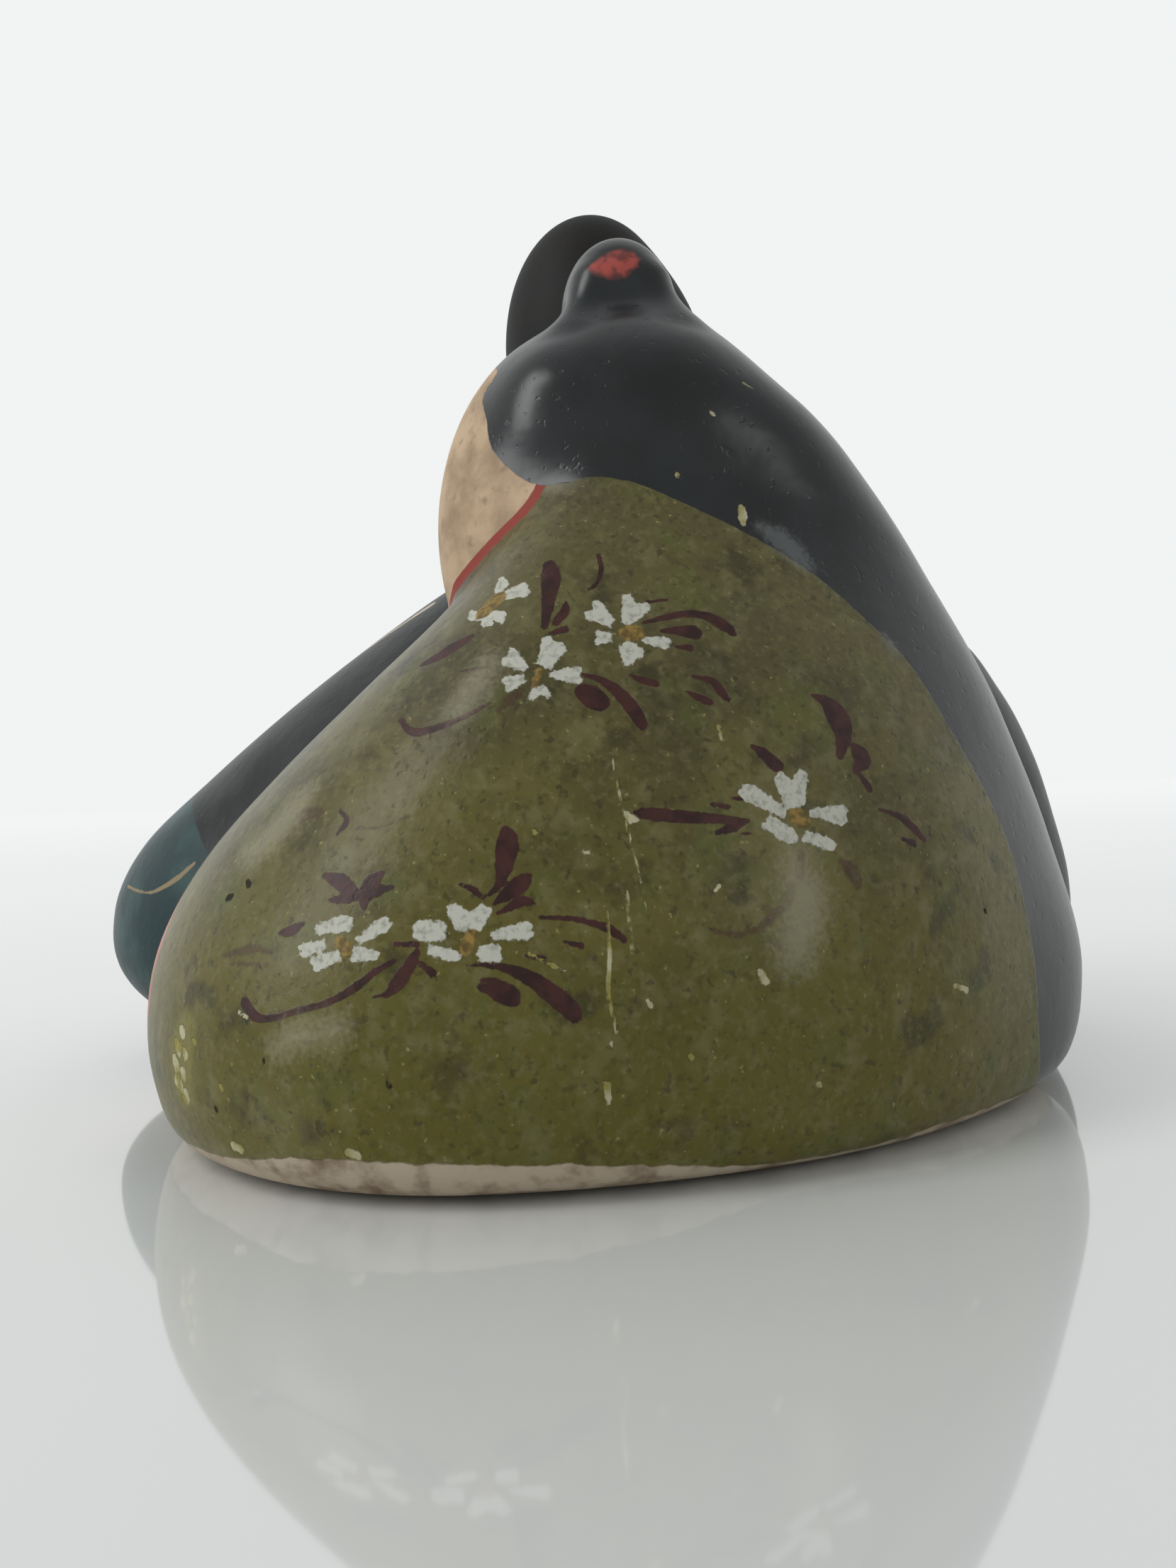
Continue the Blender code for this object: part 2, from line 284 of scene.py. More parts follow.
def settled(form, points, faces, rounds=3):
    """Spaces the points evenly and lays them back on the surface."""
    ends = np.concatenate([faces[:, [k, (k + 1) % 4]] for k in range(4)])
    for _ in range(rounds):
        pull, count = np.zeros_like(points), np.zeros(len(points))
        np.add.at(pull, ends[:, 0], points[ends[:, 1]])
        np.add.at(count, ends[:, 0], 1)
        points = points + SPREADING * (pull / count[:, None] - points)
        for _ in range(2):
            away = steepest(form, points)
            points = points - away * (form(points) / np.maximum((away ** 2).sum(-1), LEAST_SLOPE))[:, None]
    return points


# The photograph's viewpoint, in pattern millimetres and in pixels of its 1659 x 2212 frame
PHOTO_WIDTH, PHOTO_HEIGHT = 1659, 2212
EYE = (113.3, 1.35, 24.4)
FOCAL_PIXELS = 1791
ROLL = math.radians(1.9)
SENSOR = 36.0

# Her blossoms: each petal is base x, base y, half width, tip x, tip y, half width, depth of the notch in it
PETALS = (
    (711, 841, 5, 748, 829, 12, 3), (700, 838, 4, 713, 815, 9, 3), (682, 870, 5, 660, 868, 8, 3),
    (685, 866, 5, 688, 886, 10, 4), (692, 867, 5, 715, 873, 10, 4),
    (742, 944, 5, 711, 921, 17, 9), (767, 940, 10, 786, 899, 21, 8), (777, 952, 4, 824, 953, 15, 6),
    (760, 968, 8, 763, 988, 19, 9), (740, 957, 5, 709, 968, 13, 6),
    (883, 880, 6, 902, 842, 27, 12), (906, 902, 3, 948, 909, 10, 4), (880, 908, 8, 899, 934, 20, 5),
    (863, 899, 5, 838, 900, 12, 6), (864, 880, 6, 829, 855, 18, 11),
    (1122, 1139, 13, 1114, 1083, 27, 20), (1108, 1148, 7, 1041, 1110, 14, 8),
    (1144, 1146, 4, 1199, 1151, 17, 8), (1081, 1158, 10, 1125, 1187, 11, 0),
    (1134, 1179, 7, 1183, 1196, 9, 6),
    (445, 1312, 7, 502, 1300, 13, 6), (505, 1328, 4, 553, 1297, 12, 5), (497, 1346, 10, 539, 1348, 8, 4),
    (479, 1347, 7, 437, 1364, 13, 6), (459, 1332, 6, 419, 1344, 12, 8),
    (660, 1313, 18, 662, 1272, 36, 17), (694, 1320, 5, 756, 1311, 15, 8), (675, 1346, 11, 711, 1344, 13, 5),
    (605, 1340, 6, 652, 1351, 9, 0), (628, 1314, 13, 580, 1313, 15, 4),
)

# Their ochre hearts: x, y, half width, x, y, half width
HEARTS = (
    ((683, 863, 7), (700, 846, 8)), ((761, 947, 5), (754, 966, 5)), ((888, 893, 11), (896, 893, 11)),
    ((1126, 1153, 13), (1131, 1155, 12)), ((479, 1329, 9), (490, 1341, 9)), ((666, 1318, 9), (658, 1338, 9)),
)

# Maroon leaves, buds and tendrils: each stroke is a run of x, y, half width
LEAVES = (
    ((775, 797, 10), (777, 815, 14), (774, 845, 10), (768, 885, 5)),
    ((798, 850, 3), (796, 863, 7), (784, 879, 5)), ((778, 893, 3), (797, 888, 5)),
    ((844, 783, 3), (848, 802, 4), (843, 822, 3), (830, 832, 2)),
    ((664, 898, 3), (638, 914, 6), (618, 926, 5), (596, 937, 2)), ((651, 947, 2), (690, 941, 2)),
    ((565, 1016, 4), (580, 1032, 6), (602, 1031, 5), (635, 1020, 4), (667, 1005, 3), (690, 992, 2)),
    ((906, 879, 2), (934, 872, 4), (966, 866, 5), (995, 869, 6), (1021, 882, 8), (1034, 894, 4)),
    ((934, 890, 3), (956, 890, 6), (978, 892, 10)), ((953, 912, 2), (973, 914, 5)),
    ((914, 849, 2), (940, 846, 2)),
    ((820, 951, 2), (846, 959, 5), (869, 973, 8), (888, 994, 10), (903, 1017, 9), (907, 1027, 4)),
    ((823, 975, 11), (835, 983, 16), (844, 990, 14)),
    ((888, 952, 2), (904, 959, 5), (924, 964, 5)),
    ((976, 954, 2), (1005, 961, 5), (1018, 977, 6), (1027, 988, 3)),
    ((969, 976, 2), (986, 984, 5), (1000, 990, 5)),
    ((1146, 981, 2), (1166, 991, 8), (1182, 1012, 15), (1189, 1038, 11), (1185, 1067, 5)),
    ((1204, 1052, 4), (1216, 1070, 12), (1207, 1088, 5)), ((1213, 1093, 3), (1226, 1112, 5)),
    ((1062, 1053, 3), (1078, 1064, 8), (1096, 1080, 9)),
    ((896, 1146, 3), (914, 1148, 9), (961, 1152, 9), (1010, 1155, 7), (1056, 1158, 3)),
    ((1004, 1134, 3), (1027, 1139, 4)), ((1033, 1126, 2), (1050, 1127, 3)),
    ((1010, 1175, 3), (1033, 1168, 6), (1052, 1160, 3)), ((1042, 1179, 2), (1057, 1175, 3)),
    ((1241, 1142, 2), (1267, 1151, 4), (1286, 1165, 5), (1304, 1185, 3)),
    ((1272, 1183, 2), (1289, 1190, 5)),
    ((458, 1235, 4), (480, 1244, 12), (500, 1262, 10)), ((464, 1270, 3), (492, 1267, 8)),
    ((538, 1231, 4), (522, 1248, 11), (514, 1270, 8), (514, 1283, 2)), ((552, 1251, 3), (530, 1257, 9)),
    ((713, 1172, 8), (716, 1190, 16), (711, 1220, 13), (704, 1248, 6), (690, 1262, 3)),
    ((746, 1236, 5), (732, 1249, 13), (712, 1264, 8), (697, 1275, 3)),
    ((755, 1276, 3), (737, 1271, 8), (716, 1282, 5), (700, 1289, 2)),
    ((648, 1247, 2), (666, 1254, 5), (681, 1267, 3)), ((392, 1317, 2), (410, 1313, 7), (429, 1303, 2)),
    ((762, 1294, 3), (812, 1297, 4), (856, 1309, 6), (881, 1326, 5)), ((796, 1328, 2), (819, 1334, 5)),
    ((742, 1348, 3), (767, 1352, 4)), ((556, 1332, 3), (588, 1332, 5)),
    ((556, 1355, 4), (528, 1372, 5), (496, 1396, 6), (460, 1415, 5), (420, 1426, 5), (384, 1436, 5),
     (361, 1434, 7), (345, 1414, 7)),
    ((588, 1343, 5), (576, 1364, 9), (560, 1388, 10), (544, 1404, 4), (527, 1406, 2)),
    ((588, 1356, 4), (611, 1373, 6)),
    ((656, 1360, 2), (700, 1363, 5), (740, 1376, 10), (776, 1400, 14), (804, 1424, 14), (812, 1436, 8)),
    ((676, 1392, 4), (697, 1396, 12), (716, 1403, 16), (724, 1411, 10)), ((674, 1380, 2), (704, 1384, 4)),
    ((480, 1143, 3), (489, 1159, 4), (476, 1177, 2)),
)
# Strokes of the same paint that were put on thin or have been rubbed
FAINT_LEAVES = (
    ((1120, 1249, 4), (1112, 1272, 6), (1091, 1292, 6), (1068, 1311, 5), (1036, 1318, 4), (1004, 1311, 3)),
    ((1186, 1215, 4), (1203, 1230, 10), (1210, 1249, 5)), ((1130, 1205, 6), (1128, 1235, 7)),
    ((316, 1348, 3), (358, 1338, 6), (385, 1344, 2)), ((324, 1358, 3), (376, 1363, 4)),
    ((428, 1150, 8), (450, 1146, 6)), ((703, 1003, 3), (722, 985, 8), (735, 974, 4)),
    ((504, 1169, 2), (540, 1166, 2), (577, 1151, 2)),
)

# Wear, and painted highlights, as strokes of x, y, half width: scratches and chips down to the pale ground,
# dark pits, and pale patches of painted sheen
SCRATCHES = (
    ((856, 1283, 2), (860, 1350, 3), (858, 1400, 3), (870, 1458, 2)), ((884, 1258, 2), (892, 1345, 2)),
    ((864, 1070, 1), (880, 1150, 2), (900, 1225, 1), (915, 1300, 1)), ((1048, 540, 1), (1062, 548, 1)),
)
CHIPS = (
    ((882, 1146, 3), (889, 1154, 7), (896, 1157, 4)), ((852, 1528, 3), (857, 1535, 6), (858, 1558, 2)),
    ((1073, 1370, 4), (1078, 1382, 7)), ((1013, 1024, 2), (1018, 1042, 3)),
    ((1009, 1256, 2), (1014, 1250, 4)),
    ((1347, 1391, 3), (1364, 1396, 4)), ((750, 1170, 2), (754, 1174, 4)), ((824, 1202, 3), (829, 1203, 4)),
    ((914, 1412, 3), (918, 1419, 5)), ((862, 1472, 3), (862, 1476, 3)), ((974, 1490, 4), (976, 1493, 4)),
    ((1154, 1529, 4), (1157, 1532, 4)), ((1045, 713, 3), (1047, 725, 6), (1048, 738, 4)),
    ((1004, 582, 3), (1006, 584, 3)),
    ((954, 670, 3), (956, 671, 3)), ((330, 1616, 5), (338, 1620, 5)), ((492, 1626, 6), (502, 1630, 6)),
    ((255, 1452, 3), (258, 1458, 4)), ((248, 1470, 3), (252, 1478, 5)), ((260, 1484, 3), (262, 1490, 3)),
    ((246, 1494, 3), (249, 1503, 4)), ((257, 1510, 3), (259, 1516, 4)), ((250, 1524, 4), (254, 1531, 4)),
    ((262, 1541, 3), (262, 1549, 4)), ((272, 1466, 2), (275, 1470, 3)), ((310, 1530, 2), (312, 1535, 3)),
    ((348, 1436, 2), (338, 1428, 3)), ((1060, 1018, 2), (1060, 1024, 2)), ((745, 1345, 2), (797, 1370, 2)),
)
# Pale grey patches on her hair: rubbed paint, with a painted highlight where the light gleams on it
SCUFFS_AND_SHEEN = (((1075, 745, 6), (1105, 765, 14), (1135, 795, 10)), ((1250, 900, 4), (1262, 918, 5)))
# Painted highlights: pale patches of sheen on the robe where its satin paint reflects the windows
PAINTED_SHEEN = (
    ((1120, 1215, 20), (1135, 1270, 34), (1120, 1340, 30)),
    ((690, 935, 12), (672, 965, 18), (648, 1000, 14)),
    ((480, 1450, 16), (420, 1462, 24), (390, 1480, 14)),
    ((430, 1120, 10), (400, 1160, 16), (360, 1200, 12)),
)
STAINS = (((262, 1450, 12), (256, 1490, 16), (258, 1530, 14)),)
PITS = (
    ((372, 1494, 3), (373, 1500, 3)), ((430, 1489, 3), (431, 1491, 3)), ((547, 1525, 4), (550, 1534, 6)),
    ((305, 1564, 3), (306, 1567, 3)), ((409, 1570, 3), (412, 1571, 3)), ((349, 1243, 4), (352, 1249, 5)),
    ((322, 1267, 4), (327, 1265, 4)), ((417, 1209, 3), (419, 1211, 3)), ((994, 1058, 3), (996, 1059, 3)),
    ((1389, 1285, 3), (1390, 1286, 3)), ((745, 1352, 2), (747, 1353, 2)),
)
KNOT_PATCH = (((843, 377, 8), (858, 374, 15), (874, 369, 18), (889, 363, 9)),)
OCHRE_LINES = (((180, 1250, 2), (196, 1257, 2), (216, 1258, 2), (247, 1241, 3), (274, 1218, 2)),)

# Painted where the photograph doesn't show it: each stroke is a run of x, z, half width from the front
EYE_LINES = (
    ((2.3, 50.3, 0.1), (3.5, 49.8, 0.22), (4.7, 50.1, 0.12)),
    ((7.8, 50.1, 0.12), (9.3, 49.6, 0.24), (11.0, 50.2, 0.1)),
    ((-10.8, 54.5, 0.1), (-9.2, 53.9, 0.24), (-7.6, 54.3, 0.12)),
    ((-3.9, 54.3, 0.12), (-2.7, 53.9, 0.22), (-1.6, 54.4, 0.1)),
)
BROWS = (
    ((2.8, 53.3, 0.3), (4.2, 53.8, 0.35)), ((8.4, 53.9, 0.4), (10.5, 53.5, 0.35)),
    ((-11.2, 57.2, 0.25), (-9.6, 57.7, 0.35), (-8.0, 57.5, 0.3)), ((-3.9, 57.5, 0.3), (-2.4, 57.3, 0.25)),
)
MOUTHS = (
    ((5.4, 44.7, 0.15), (6.2, 44.5, 0.5), (7.0, 44.7, 0.15)),
    ((-6.3, 48.4, 0.15), (-5.5, 48.2, 0.42), (-4.7, 48.4, 0.15)),
)
LAPELS = (
    ((13.2, 39.3, 0.45), (10.2, 35, 0.5), (8, 29.5, 0.45), (7, 23, 0.3)),
    ((3.4, 39.0, 0.45), (5.2, 34.6, 0.45), (7.6, 30.4, 0.4)),
    ((-17, 43.5, 0.5), (-12.4, 38.5, 0.5), (-8.6, 32, 0.45), (-7, 24, 0.3)),
    ((-2.6, 41.2, 0.5), (-4.6, 37.2, 0.5), (-8, 32.6, 0.4)),
)
SLEEVE_LINES = (
    ((-36, 10, 0.14), (-31, 7.5, 0.2), (-25.5, 8.5, 0.14)),
    ((-20.5, 6.5, 0.14), (-13, 5.2, 0.2), (-6, 8, 0.14)),
)
FRONT_BLOSSOMS = ((12.4, 29.6, 2.2, 0.3), (15.4, 25.2, 2.3, 1.1))  # x, z, petal length, turn
FRONT_LEAVES = (
    ((10.4, 31.4, 0.15), (9.9, 32.4, 0.45), (9.8, 33.8, 0.15)),
    ((13.4, 22.8, 0.2), (12.2, 22.2, 0.4), (10.8, 22.6, 0.1)),
    ((15.8, 28.2, 0.15), (16.0, 29.4, 0.5), (15.6, 30.8, 0.15)),
    ((16.6, 22.0, 0.3), (16.2, 20.6, 0.5), (14.8, 19.6, 0.2)),
)
PETALS_EACH = 5

# Edges of the painted areas in a side view: y and z in pattern millimetres. The hair's goes from her temple
# down her back, and the face's from the hair down to her breast.
HAIR_EDGE = (
    (-6.0, 54.5), (-5.4, 52.2), (-5.2, 50.2), (-4.6, 49.0), (-3.4, 47.6), (-2.2, 46.6), (-1.1, 46.2),
    (0.6, 46.2), (2.3, 46.4), (4.0, 46.1), (5.6, 45.6), (9.0, 43.9), (13.7, 41.4), (18.1, 38.5),
    (21.9, 34.9), (24.6, 32.0), (27.2, 27.4), (30.0, 22.3), (31.7, 17.7), (32.6, 12.1), (32.8, 6.4),
    (33.1, 2.8), (33.2, -4.0),
)
FACE_EDGE = ((-9.4, 39.6), (-7.2, 41.4), (-4.8, 43.3), (-2.9, 44.8), (-1.7, 46.4), (-1.2, 48.0))
PAINTED_FROM = (12.0, 15.0)  # where along X the painted edges take over from the creases of the clay
TEMPLE = (53.5, 55.5)  # and where they give way to the creases again, going up
# Hairlines across the foreheads, as the ovals of skin in a front view
LADY_FOREHEAD = (((9, 45.6), (12.5, 12.6)),)
LORD_FOREHEAD = (((-7.5, 49.4), (10.4, 11.8)),)
FOREHEAD_FROM = 53.5
# The bare foot: its upper edge at places from front to back
FOOT_PLACE = (-30, -23, -15, -6.7, 3.5, 11, 17, 23, 33)
FOOT_EDGE = (1.6, 1.9, 3.0, 2.8, 2.1, 1.0, 0.8, 1.2, 1.2)
LORD_FOOT_EDGE = 1.1
# Sleeve mouths in a front view: middle x and z, half width and half height
LADY_SLEEVE_MOUTHS = (((15.5, 11), (9.6, 8.5)), ((4.6, 10.5), (4.2, 7.5)))
LORD_SLEEVE_MOUTHS = (((-8, 14), (14, 11)), ((-27, 14), (10, 10.5)))
FRONT_FROM = -15  # sleeve mouths are painted only in front of this Y
FOOT_SHARED_TO = 10  # her foot edge takes over from his between X of 0 and this
COLLAR_WIDTH = 0.75

# How finely the marks are cut in
HEADS_FROM = 56  # height from which her topknot and his hat are cut finer
HEAD_CUTS = 1
MARK_CUTS = 3
MARK_MARGIN = 0.62
SOFT_MARKS = ("painted_sheen", "stain", "scuff_and_sheen")  # these have no sharp edge that needs it
STROKE_STEP = 2.5  # between a stroke's samples, in pixels of the photograph
FRONT_STEP = 0.2  # the same in a front view, in pattern millimetres
FRONT_START = -70.0  # Y that the front view's sight lines start from
PETAL_ROUNDING = 0.26
NOTCH_WIDTH = 0.5

# Colours, as sRGB
OLIVE = "665f30"
OLIVE_DARK = "4c4726"
OLIVE_LOW = "5d5716"
# Painted shade: the robe's olive high up, where the hair shades it
OLIVE_PAINTED_SHADE = "494330"
OLIVE_PALE = "77724c"
OLIVE_SHADE = "2d2b14"
OLIVE_SPECK = "959058"
OLIVE_GREEN = "595f2a"
LINING_PINK = "c98f86"
LINING_CREAM = "c9bfa8"
COLLAR_RED = "8e3a2f"
LORD_BLACK = "161818"
LORD_BLACK_WORN = "2a2d2e"
TEAL = "2f4b4a"
TEAL_DARK = "20383a"
OCHRE_LINE = "8f7f62"
FACE_PEACH = "c3a98b"
FACE_DIRT = "8f775d"
FACE_GRIME = "7c6650"
HAIR_BLACK = "101314"
HAIR_BLUE = "191e20"
HAT_BROWN = "171511"
PATCH_RED = "a3443b"
PATCH_DIRT = "6b2f2b"
LEAF_MAROON = "44241f"
LEAF_DARK = "2f1815"
PETAL_WHITE = "c6c6ba"
PETAL_GREY = "8d8f82"
HEART_OCHRE = "94793a"
HEART_DARK = "5f4f26"
CLAY_CREAM = "b9ab96"
CLAY_DIRT = "7a6853"
GROUND_PALE = "b7b393"
GROUND_YELLOW = "8f8748"
# Pale grey of rubbed paint and painted highlight on her hair
SCUFF_AND_SHEEN_GREY = "8d9291"
# Painted highlight: the pale sheen of the robe's satin paint
PAINTED_SHEEN_GREY = "aba68e"
PIT_DARK = "25230f"
INK_BLACK = "1d1a18"
LIP_RED = "b03a35"
TABLE_WHITE = "e2e4e2"
ROOM_WHITE = "f6f8f8"

# The robe's paint low down, and its painted shade high up under the hair: the heights in metres that each
# comes in between, and its share
LOW_PAINT = (0.028, 0.005, 0.85)
PAINTED_SHADE_HIGH_UP = (0.022, 0.042, 0.5)

MM_IN_METRE = 1000
FIELD_REACH = 2.0  # how far from its edge a mark's distance is kept, in pattern millimetres

BEHIND_LIGHT = 1.02  # of the room behind the couple
FRONT_LIGHT = 0.6  # of the room where the viewer stands
TOP_SHARE = 0.75  # of that light from straight above
SEEN_LIGHT = 0.96  # of the room as the camera sees it itself

# The table top in metres: its half width, and how far it is under the couple so that the two don't flicker
TABLE_HALF = 2.5
TABLE_GAP = 0.0002
TABLE_IOR = 2.5  # gives the mirror image the strength that it has in the photograph


def hex_colour(text):
    """An sRGB colour such as 8a8658 as linear values with alpha."""
    channels = [int(text[k:k + 2], 16) / 255 for k in (0, 2, 4)]
    return [c / 12.92 if c <= 0.04045 else ((c + 0.055) / 1.055) ** 2.4 for c in channels] + [1.0]


def sight_lines(pixels):
    """Directions from the eye through pixels of the photograph."""
    offset = np.asarray(pixels, float) - np.array((PHOTO_WIDTH, PHOTO_HEIGHT)) / 2
    across = math.cos(ROLL) * offset[:, 0] - math.sin(ROLL) * offset[:, 1]
    down = math.sin(ROLL) * offset[:, 0] + math.cos(ROLL) * offset[:, 1]
    ray = np.stack([np.full(len(offset), -float(FOCAL_PIXELS)), across, -down], -1)
    return ray / np.linalg.norm(ray, axis=1)[:, None]


def first_meeting(start, ray, near=50.0, steps=140, stride=0.6):
    """Where rays first meet the form."""
    reach = np.full(len(ray), near)
    for _ in range(steps):
        reach = np.clip(reach + stride * couple(start + reach[:, None] * ray), 0, 200)
    return start + reach[:, None] * ray


def seen(pixels):
    """Points of the form at pixels of the photograph."""
    return first_meeting(np.array(EYE), sight_lines(pixels))


def from_front(spots):
    """Points of the form at x and z of a front view."""
    spots = np.asarray(spots, float)
    start = np.stack([spots[:, 0], np.full(len(spots), FRONT_START), spots[:, 1]], -1)
    return first_meeting(start, np.tile((0.0, 1.0, 0.0), (len(spots), 1)), near=5.0)


def through(points, step):
    """A soft curve through given points, as evenly spaced samples."""
    points = np.asarray(points, float)
    if len(points) > 2:
        ends = np.concatenate([[2 * points[0] - points[1]], points, [2 * points[-1] - points[-2]]])
    else:
        ends = np.concatenate([[points[0]], points, [points[-1]]])
    run = []
    for a, b, c, d in zip(ends, ends[1:], ends[2:], ends[3:]):
        count = max(2, int(np.linalg.norm((c - b)[:2]) / step) + 1)
        t = np.linspace(0, 1, count, endpoint=False)[:, None]
        run.append(b + 0.5 * t * (c - a + t * (2 * a - 5 * b + 4 * c - d + t * (3 * (b - c) + d - a))))
    run.append(points[-1:])
    return np.concatenate(run)


class Stroke:
    """A brush stroke laid on the form: its middle line and half width at each sample."""

    def __init__(self, points, step=STROKE_STEP):
        run = through(points, step)
        ahead = np.gradient(run[:, :2], axis=0)
        beside = np.stack([-ahead[:, 1], ahead[:, 0]], -1) / np.linalg.norm(ahead, axis=1)[:, None]
        self.drawn = np.concatenate([run[:, :2] + side * run[:, 2:3] * beside for side in (0, -1, 1)])

    def lay(self, points):
        """Takes the points of the form under the middle line and the two edges."""
        self.line, left, right = np.split(points, 3)
        self.half = np.linalg.norm(left - right, axis=1) / 2
        self.edges = np.concatenate([left, right])

    def inside(self, places):
        """How far places are inside the stroke's edge."""
        best = np.full(len(places), -FIELD_REACH)
        for a, b, wide_a, wide_b in zip(self.line, self.line[1:], self.half, self.half[1:]):
            along = b - a
            share = np.clip((places - a) @ along / max(along @ along, 1e-9), 0, 1)
            gap = np.linalg.norm(places - a - share[:, None] * along, axis=1)
            best = np.maximum(best, wide_a + (wide_b - wide_a) * share - gap)
        return best


class Petal(Stroke):
    """A petal: a wedge with a notch in its broad end."""

    def __init__(self, petal, step=STROKE_STEP):
        base_x, base_y, base_half, tip_x, tip_y, tip_half, notch = petal
        super().__init__(((base_x, base_y, base_half), (tip_x, tip_y, tip_half)), step)
        self.notch_share = notch / math.hypot(tip_x - base_x, tip_y - base_y)

    def lay(self, points):
        super().lay(points)
        self.length = np.linalg.norm(self.line[-1] - self.line[0])
        self.notch = self.notch_share * self.length
        count = len(self.line)
        across = (self.edges[count:] - self.edges[:count]).sum(0)
        self.across = across / np.linalg.norm(across)

    def inside(self, places):
        axis = (self.line[-1] - self.line[0]) / self.length
        offset = places - self.line[0]
        skew = axis @ self.across
        square = 1 - skew ** 2
        along = (offset @ axis - skew * (offset @ self.across)) / square
        aside = np.abs(offset @ self.across - skew * (offset @ axis)) / square
        depth = np.abs(offset @ np.cross(axis, self.across))
        share = np.clip(along / self.length, 0, 1)
        half = self.half[0] + (self.half[-1] - self.half[0]) * share
        rounding = PETAL_ROUNDING * self.length * (aside / self.half[-1]) ** 2
        dip = self.notch * np.clip(1 - aside / (NOTCH_WIDTH * self.half[-1]), 0, 1)
        ends = np.minimum(along, self.length - rounding - dip - along)
        return np.where(depth > FIELD_REACH, -FIELD_REACH, np.minimum(half - aside, ends))


def lay_all(groups, look):
    """Lays groups of strokes on the form, all their points at once."""
    strokes = [stroke for group in groups.values() for stroke in group]
    points = look(np.concatenate([stroke.drawn for stroke in strokes]))
    ends = np.cumsum([len(stroke.drawn) for stroke in strokes])
    for stroke, laid in zip(strokes, np.split(points, ends[:-1])):
        stroke.lay(laid)
    return groups


def blossom(x, z, length, turn):
    """The petals of one blossom in a front view, written as the ones above are."""
    petals = []
    for number in range(PETALS_EACH):
        way = turn + number * 2 * math.pi / PETALS_EACH
        away = np.array((math.cos(way), math.sin(way)))
        base, tip = np.array((x, z)) + 0.3 * length * away, np.array((x, z)) + length * away
        petals.append(Petal((*base, 0.13 * length, *tip, 0.36 * length, 0.2 * length), FRONT_STEP))
    return petals


def marks():
    """Every painted or worn mark by the name of its paint."""
    shown = {name: [Stroke(points) for points in runs] for name, runs in (
        ("heart", HEARTS), ("leaf", LEAVES), ("faint_leaf", FAINT_LEAVES), ("scratch", SCRATCHES),
        ("chip", CHIPS), ("scuff_and_sheen", SCUFFS_AND_SHEEN), ("painted_sheen", PAINTED_SHEEN), ("stain", STAINS), ("pit", PITS),
        ("knot_patch", KNOT_PATCH), ("ochre_line", OCHRE_LINES))}
    shown["petal"] = [Petal(petal) for petal in PETALS]
    hidden = {name: [Stroke(points, FRONT_STEP) for points in runs] for name, runs in (
        ("ink", EYE_LINES), ("brow", BROWS), ("lip", MOUTHS), ("lapel", LAPELS), ("ochre_line", SLEEVE_LINES),
        ("leaf", FRONT_LEAVES))}
    hidden["petal"] = [petal for spot in FRONT_BLOSSOMS for petal in blossom(*spot)]
    hidden["heart"] = [Stroke(((x, z, 0.2 * length), (x + 0.1, z, 0.2 * length)), FRONT_STEP)
                       for x, z, length, _ in FRONT_BLOSSOMS]
    lay_all(shown, seen)
    lay_all(hidden, from_front)
    return {name: shown.get(name, []) + hidden.get(name, []) for name in {**shown, **hidden}}


def places_of(mesh):
    flat = np.empty(len(mesh.vertices) * 3)
    mesh.vertices.foreach_get("co", flat)
    return flat.reshape(-1, 3)


def laid_on(mesh, rounds=3):
    """Brings the mesh's points onto the form and its underside onto the floor."""
    places = places_of(mesh)
    for _ in range(rounds):
        away = steepest(couple, places)
        places = places - away * (couple(places) / np.maximum((away ** 2).sum(-1), LEAST_SLOPE))[:, None]
    places[places[:, 2] < UNDERSIDE_BAND, 2] = 0
    mesh.vertices.foreach_set("co", places.ravel())


def cut_finer(mesh, wanted, cuts):
    """Cuts the faces that have a wanted point into smaller ones."""
    work = bmesh.new()
    work.from_mesh(mesh)
    faces = [face for face in work.faces if any(wanted[point.index] for point in face.verts)]
    edges = list({edge for face in faces for edge in face.edges})
    bmesh.ops.subdivide_edges(work, edges=edges, cuts=cuts, use_grid_fill=True)
    work.to_mesh(mesh)
    work.free()
    laid_on(mesh)


def middle_of(points):
    """The level middle of the box around points, which is where the origin stands."""
    middle = (points.min(0) + points.max(0)) / 2
    middle[2] = 0
    return middle


def clay_mesh(all_marks):
    """The couple's skin, cut finer at the heads and finer still at each mark, and its level middle."""
    points, faces = skin(couple, CUT)
    points = settled(couple, points, faces)
    middle = middle_of(points)
    mesh = bpy.data.meshes.new("painted_couple")
    mesh.from_pydata(points.tolist(), [], faces.tolist())
    everywhere = np.ones(len(mesh.vertices), bool)
    everywhere[places_of(mesh)[:, 2] < UNDERSIDE_BAND] = False
    cut_finer(mesh, everywhere, 1)
    places = places_of(mesh)
    cut_finer(mesh, places[:, 2] > HEADS_FROM, HEAD_CUTS)
    strokes = [stroke for name, group in all_marks.items() if name not in SOFT_MARKS for stroke in group]
    spots = np.concatenate([np.concatenate([stroke.line, stroke.edges]) for stroke in strokes])
    tree = kdtree.KDTree(len(spots))
    for number, spot in enumerate(spots):
        tree.insert(spot, number)
    tree.balance()
    near = np.array([tree.find(place)[2] < MARK_MARGIN for place in places_of(mesh)])
    cut_finer(mesh, near, MARK_CUTS)
    return mesh, middle


